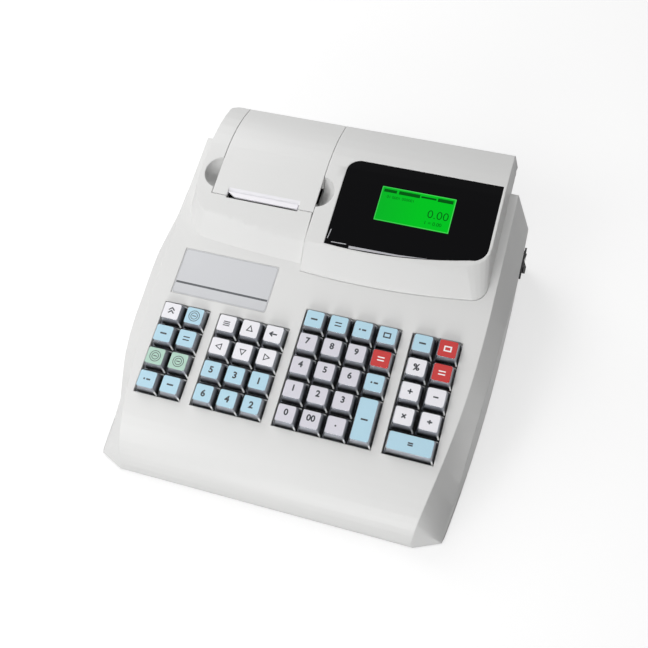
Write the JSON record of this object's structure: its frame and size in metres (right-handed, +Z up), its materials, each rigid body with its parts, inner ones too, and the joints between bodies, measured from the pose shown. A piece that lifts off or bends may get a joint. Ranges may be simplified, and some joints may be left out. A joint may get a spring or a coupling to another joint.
{
  "type": "ticket register",
  "caption": "Countertop ticket register with a sloping keyboard, a receipt printer under a hinged lid, a graphic display and a side power switch.",
  "frame": {"origin": "on the table under the middle of the case", "axes": "+X to the operator's right, +Y away from the operator, +Z up"},
  "size_m": [0.2945, 0.3057, 0.1039],
  "materials": {
    "base": "fine texture",
    "case": "fine texture",
    "window": "polished, smoked",
    "lcd": "lit",
    "mechanism": "plain",
    "frame": "plain",
    "board": "plain",
    "feet": "plain",
    "platen": "ground",
    "rocker": "plain",
    "key_white": "clear over a label",
    "key_grey": "clear over a label",
    "key_blue": "clear over a label",
    "key_green": "clear over a label",
    "key_red": "clear over a label"
  },
  "bodies": {
    "case": {"base_pan": "base", "upper_case": "case", "display_cover": "case", "display_window": "window", "lcd_module": "lcd", "print_mechanism": "mechanism", "key_frame": "frame", "electronics": "board", "rubber_feet": "feet"},
    "paper_lid": {"paper_lid": "case"},
    "platen_roller": {"platen_roller": "platen"},
    "power_rocker": {"power_rocker": "rocker"},
    "key_feed": {"key_feed": "key_white"},
    "key_f1": {"key_f1": "key_blue"},
    "key_f2": {"key_f2": "key_blue"},
    "key_f3": {"key_f3": "key_blue"},
    "key_card": {"key_card": "key_green"},
    "key_cash": {"key_cash": "key_green"},
    "key_f4": {"key_f4": "key_blue"},
    "key_f5": {"key_f5": "key_blue"},
    "key_menu": {"key_menu": "key_white"},
    "key_up": {"key_up": "key_white"},
    "key_back": {"key_back": "key_white"},
    "key_left": {"key_left": "key_white"},
    "key_down": {"key_down": "key_white"},
    "key_right": {"key_right": "key_white"},
    "key_dept_5": {"key_dept_5": "key_blue"},
    "key_dept_3": {"key_dept_3": "key_blue"},
    "key_dept_1": {"key_dept_1": "key_blue"},
    "key_dept_6": {"key_dept_6": "key_blue"},
    "key_dept_4": {"key_dept_4": "key_blue"},
    "key_dept_2": {"key_dept_2": "key_blue"},
    "key_f6": {"key_f6": "key_blue"},
    "key_f7": {"key_f7": "key_blue"},
    "key_f8": {"key_f8": "key_blue"},
    "key_f9": {"key_f9": "key_blue"},
    "key_7": {"key_7": "key_grey"},
    "key_8": {"key_8": "key_grey"},
    "key_9": {"key_9": "key_grey"},
    "key_clear": {"key_clear": "key_red"},
    "key_4": {"key_4": "key_grey"},
    "key_5": {"key_5": "key_grey"},
    "key_6": {"key_6": "key_grey"},
    "key_subtotal": {"key_subtotal": "key_blue"},
    "key_1": {"key_1": "key_grey"},
    "key_2": {"key_2": "key_grey"},
    "key_3": {"key_3": "key_grey"},
    "key_enter": {"key_enter": "key_blue"},
    "key_0": {"key_0": "key_grey"},
    "key_00": {"key_00": "key_grey"},
    "key_point": {"key_point": "key_grey"},
    "key_f10": {"key_f10": "key_blue"},
    "key_void": {"key_void": "key_red"},
    "key_percent": {"key_percent": "key_white"},
    "key_refund": {"key_refund": "key_red"},
    "key_plus": {"key_plus": "key_white"},
    "key_minus": {"key_minus": "key_white"},
    "key_times": {"key_times": "key_white"},
    "key_divide": {"key_divide": "key_white"},
    "key_total": {"key_total": "key_blue"}
  },
  "joints": [
    {"name": "paper_lid_hinge", "type": "hinge", "parent": "case", "child": "paper_lid", "pos_m": [-0.0632, 0.13902, 0.09548], "axis": [-1, 0, 0], "range_deg": [0, 100]},
    {"name": "platen_spin", "type": "hinge", "parent": "paper_lid", "child": "platen_roller", "pos_m": [-0.0632, 0.07038, 0.08558], "axis": [1, 0, 0], "continuous": true},
    {"name": "power_rocker_tip", "type": "hinge", "parent": "case", "child": "power_rocker", "pos_m": [0.1441, 0.0935, 0.038], "axis": [0, 0, 1], "range_deg": [-14, 0]},
    {"name": "key_feed_press", "type": "slide", "parent": "case", "child": "key_feed", "axis": [0, 0.2419, -0.9703], "range_m": [0, 0.0035], "stiffness_N_per_m": 150, "springref_m": -0.002},
    {"name": "key_f1_press", "type": "slide", "parent": "case", "child": "key_f1", "axis": [0, 0.2419, -0.9703], "range_m": [0, 0.0035], "stiffness_N_per_m": 150, "springref_m": -0.002},
    {"name": "key_f2_press", "type": "slide", "parent": "case", "child": "key_f2", "axis": [0, 0.2419, -0.9703], "range_m": [0, 0.0035], "stiffness_N_per_m": 150, "springref_m": -0.002},
    {"name": "key_f3_press", "type": "slide", "parent": "case", "child": "key_f3", "axis": [0, 0.2419, -0.9703], "range_m": [0, 0.0035], "stiffness_N_per_m": 150, "springref_m": -0.002},
    {"name": "key_card_press", "type": "slide", "parent": "case", "child": "key_card", "axis": [0, 0.2419, -0.9703], "range_m": [0, 0.0035], "stiffness_N_per_m": 150, "springref_m": -0.002},
    {"name": "key_cash_press", "type": "slide", "parent": "case", "child": "key_cash", "axis": [0, 0.2419, -0.9703], "range_m": [0, 0.0035], "stiffness_N_per_m": 150, "springref_m": -0.002},
    {"name": "key_f4_press", "type": "slide", "parent": "case", "child": "key_f4", "axis": [0, 0.2419, -0.9703], "range_m": [0, 0.0035], "stiffness_N_per_m": 150, "springref_m": -0.002},
    {"name": "key_f5_press", "type": "slide", "parent": "case", "child": "key_f5", "axis": [0, 0.2419, -0.9703], "range_m": [0, 0.0035], "stiffness_N_per_m": 150, "springref_m": -0.002},
    {"name": "key_menu_press", "type": "slide", "parent": "case", "child": "key_menu", "axis": [0, 0.2419, -0.9703], "range_m": [0, 0.0035], "stiffness_N_per_m": 150, "springref_m": -0.002},
    {"name": "key_up_press", "type": "slide", "parent": "case", "child": "key_up", "axis": [0, 0.2419, -0.9703], "range_m": [0, 0.0035], "stiffness_N_per_m": 150, "springref_m": -0.002},
    {"name": "key_back_press", "type": "slide", "parent": "case", "child": "key_back", "axis": [0, 0.2419, -0.9703], "range_m": [0, 0.0035], "stiffness_N_per_m": 150, "springref_m": -0.002},
    {"name": "key_left_press", "type": "slide", "parent": "case", "child": "key_left", "axis": [0, 0.2419, -0.9703], "range_m": [0, 0.0035], "stiffness_N_per_m": 150, "springref_m": -0.002},
    {"name": "key_down_press", "type": "slide", "parent": "case", "child": "key_down", "axis": [0, 0.2419, -0.9703], "range_m": [0, 0.0035], "stiffness_N_per_m": 150, "springref_m": -0.002},
    {"name": "key_right_press", "type": "slide", "parent": "case", "child": "key_right", "axis": [0, 0.2419, -0.9703], "range_m": [0, 0.0035], "stiffness_N_per_m": 150, "springref_m": -0.002},
    {"name": "key_dept_5_press", "type": "slide", "parent": "case", "child": "key_dept_5", "axis": [0, 0.2419, -0.9703], "range_m": [0, 0.0035], "stiffness_N_per_m": 150, "springref_m": -0.002},
    {"name": "key_dept_3_press", "type": "slide", "parent": "case", "child": "key_dept_3", "axis": [0, 0.2419, -0.9703], "range_m": [0, 0.0035], "stiffness_N_per_m": 150, "springref_m": -0.002},
    {"name": "key_dept_1_press", "type": "slide", "parent": "case", "child": "key_dept_1", "axis": [0, 0.2419, -0.9703], "range_m": [0, 0.0035], "stiffness_N_per_m": 150, "springref_m": -0.002},
    {"name": "key_dept_6_press", "type": "slide", "parent": "case", "child": "key_dept_6", "axis": [0, 0.2419, -0.9703], "range_m": [0, 0.0035], "stiffness_N_per_m": 150, "springref_m": -0.002},
    {"name": "key_dept_4_press", "type": "slide", "parent": "case", "child": "key_dept_4", "axis": [0, 0.2419, -0.9703], "range_m": [0, 0.0035], "stiffness_N_per_m": 150, "springref_m": -0.002},
    {"name": "key_dept_2_press", "type": "slide", "parent": "case", "child": "key_dept_2", "axis": [0, 0.2419, -0.9703], "range_m": [0, 0.0035], "stiffness_N_per_m": 150, "springref_m": -0.002},
    {"name": "key_f6_press", "type": "slide", "parent": "case", "child": "key_f6", "axis": [0, 0.2419, -0.9703], "range_m": [0, 0.0035], "stiffness_N_per_m": 150, "springref_m": -0.002},
    {"name": "key_f7_press", "type": "slide", "parent": "case", "child": "key_f7", "axis": [0, 0.2419, -0.9703], "range_m": [0, 0.0035], "stiffness_N_per_m": 150, "springref_m": -0.002},
    {"name": "key_f8_press", "type": "slide", "parent": "case", "child": "key_f8", "axis": [0, 0.2419, -0.9703], "range_m": [0, 0.0035], "stiffness_N_per_m": 150, "springref_m": -0.002},
    {"name": "key_f9_press", "type": "slide", "parent": "case", "child": "key_f9", "axis": [0, 0.2419, -0.9703], "range_m": [0, 0.0035], "stiffness_N_per_m": 150, "springref_m": -0.002},
    {"name": "key_7_press", "type": "slide", "parent": "case", "child": "key_7", "axis": [0, 0.2419, -0.9703], "range_m": [0, 0.0035], "stiffness_N_per_m": 150, "springref_m": -0.002},
    {"name": "key_8_press", "type": "slide", "parent": "case", "child": "key_8", "axis": [0, 0.2419, -0.9703], "range_m": [0, 0.0035], "stiffness_N_per_m": 150, "springref_m": -0.002},
    {"name": "key_9_press", "type": "slide", "parent": "case", "child": "key_9", "axis": [0, 0.2419, -0.9703], "range_m": [0, 0.0035], "stiffness_N_per_m": 150, "springref_m": -0.002},
    {"name": "key_clear_press", "type": "slide", "parent": "case", "child": "key_clear", "axis": [0, 0.2419, -0.9703], "range_m": [0, 0.0035], "stiffness_N_per_m": 150, "springref_m": -0.002},
    {"name": "key_4_press", "type": "slide", "parent": "case", "child": "key_4", "axis": [0, 0.2419, -0.9703], "range_m": [0, 0.0035], "stiffness_N_per_m": 150, "springref_m": -0.002},
    {"name": "key_5_press", "type": "slide", "parent": "case", "child": "key_5", "axis": [0, 0.2419, -0.9703], "range_m": [0, 0.0035], "stiffness_N_per_m": 150, "springref_m": -0.002},
    {"name": "key_6_press", "type": "slide", "parent": "case", "child": "key_6", "axis": [0, 0.2419, -0.9703], "range_m": [0, 0.0035], "stiffness_N_per_m": 150, "springref_m": -0.002},
    {"name": "key_subtotal_press", "type": "slide", "parent": "case", "child": "key_subtotal", "axis": [0, 0.2419, -0.9703], "range_m": [0, 0.0035], "stiffness_N_per_m": 150, "springref_m": -0.002},
    {"name": "key_1_press", "type": "slide", "parent": "case", "child": "key_1", "axis": [0, 0.2419, -0.9703], "range_m": [0, 0.0035], "stiffness_N_per_m": 150, "springref_m": -0.002},
    {"name": "key_2_press", "type": "slide", "parent": "case", "child": "key_2", "axis": [0, 0.2419, -0.9703], "range_m": [0, 0.0035], "stiffness_N_per_m": 150, "springref_m": -0.002},
    {"name": "key_3_press", "type": "slide", "parent": "case", "child": "key_3", "axis": [0, 0.2419, -0.9703], "range_m": [0, 0.0035], "stiffness_N_per_m": 150, "springref_m": -0.002},
    {"name": "key_enter_press", "type": "slide", "parent": "case", "child": "key_enter", "axis": [0, 0.2419, -0.9703], "range_m": [0, 0.0035], "stiffness_N_per_m": 150, "springref_m": -0.002},
    {"name": "key_0_press", "type": "slide", "parent": "case", "child": "key_0", "axis": [0, 0.2419, -0.9703], "range_m": [0, 0.0035], "stiffness_N_per_m": 150, "springref_m": -0.002},
    {"name": "key_00_press", "type": "slide", "parent": "case", "child": "key_00", "axis": [0, 0.2419, -0.9703], "range_m": [0, 0.0035], "stiffness_N_per_m": 150, "springref_m": -0.002},
    {"name": "key_point_press", "type": "slide", "parent": "case", "child": "key_point", "axis": [0, 0.2419, -0.9703], "range_m": [0, 0.0035], "stiffness_N_per_m": 150, "springref_m": -0.002},
    {"name": "key_f10_press", "type": "slide", "parent": "case", "child": "key_f10", "axis": [0, 0.2419, -0.9703], "range_m": [0, 0.0035], "stiffness_N_per_m": 150, "springref_m": -0.002},
    {"name": "key_void_press", "type": "slide", "parent": "case", "child": "key_void", "axis": [0, 0.2419, -0.9703], "range_m": [0, 0.0035], "stiffness_N_per_m": 150, "springref_m": -0.002},
    {"name": "key_percent_press", "type": "slide", "parent": "case", "child": "key_percent", "axis": [0, 0.2419, -0.9703], "range_m": [0, 0.0035], "stiffness_N_per_m": 150, "springref_m": -0.002},
    {"name": "key_refund_press", "type": "slide", "parent": "case", "child": "key_refund", "axis": [0, 0.2419, -0.9703], "range_m": [0, 0.0035], "stiffness_N_per_m": 150, "springref_m": -0.002},
    {"name": "key_plus_press", "type": "slide", "parent": "case", "child": "key_plus", "axis": [0, 0.2419, -0.9703], "range_m": [0, 0.0035], "stiffness_N_per_m": 150, "springref_m": -0.002},
    {"name": "key_minus_press", "type": "slide", "parent": "case", "child": "key_minus", "axis": [0, 0.2419, -0.9703], "range_m": [0, 0.0035], "stiffness_N_per_m": 150, "springref_m": -0.002},
    {"name": "key_times_press", "type": "slide", "parent": "case", "child": "key_times", "axis": [0, 0.2419, -0.9703], "range_m": [0, 0.0035], "stiffness_N_per_m": 150, "springref_m": -0.002},
    {"name": "key_divide_press", "type": "slide", "parent": "case", "child": "key_divide", "axis": [0, 0.2419, -0.9703], "range_m": [0, 0.0035], "stiffness_N_per_m": 150, "springref_m": -0.002},
    {"name": "key_total_press", "type": "slide", "parent": "case", "child": "key_total", "axis": [0, 0.2419, -0.9703], "range_m": [0, 0.0035], "stiffness_N_per_m": 150, "springref_m": -0.002}
  ]
}
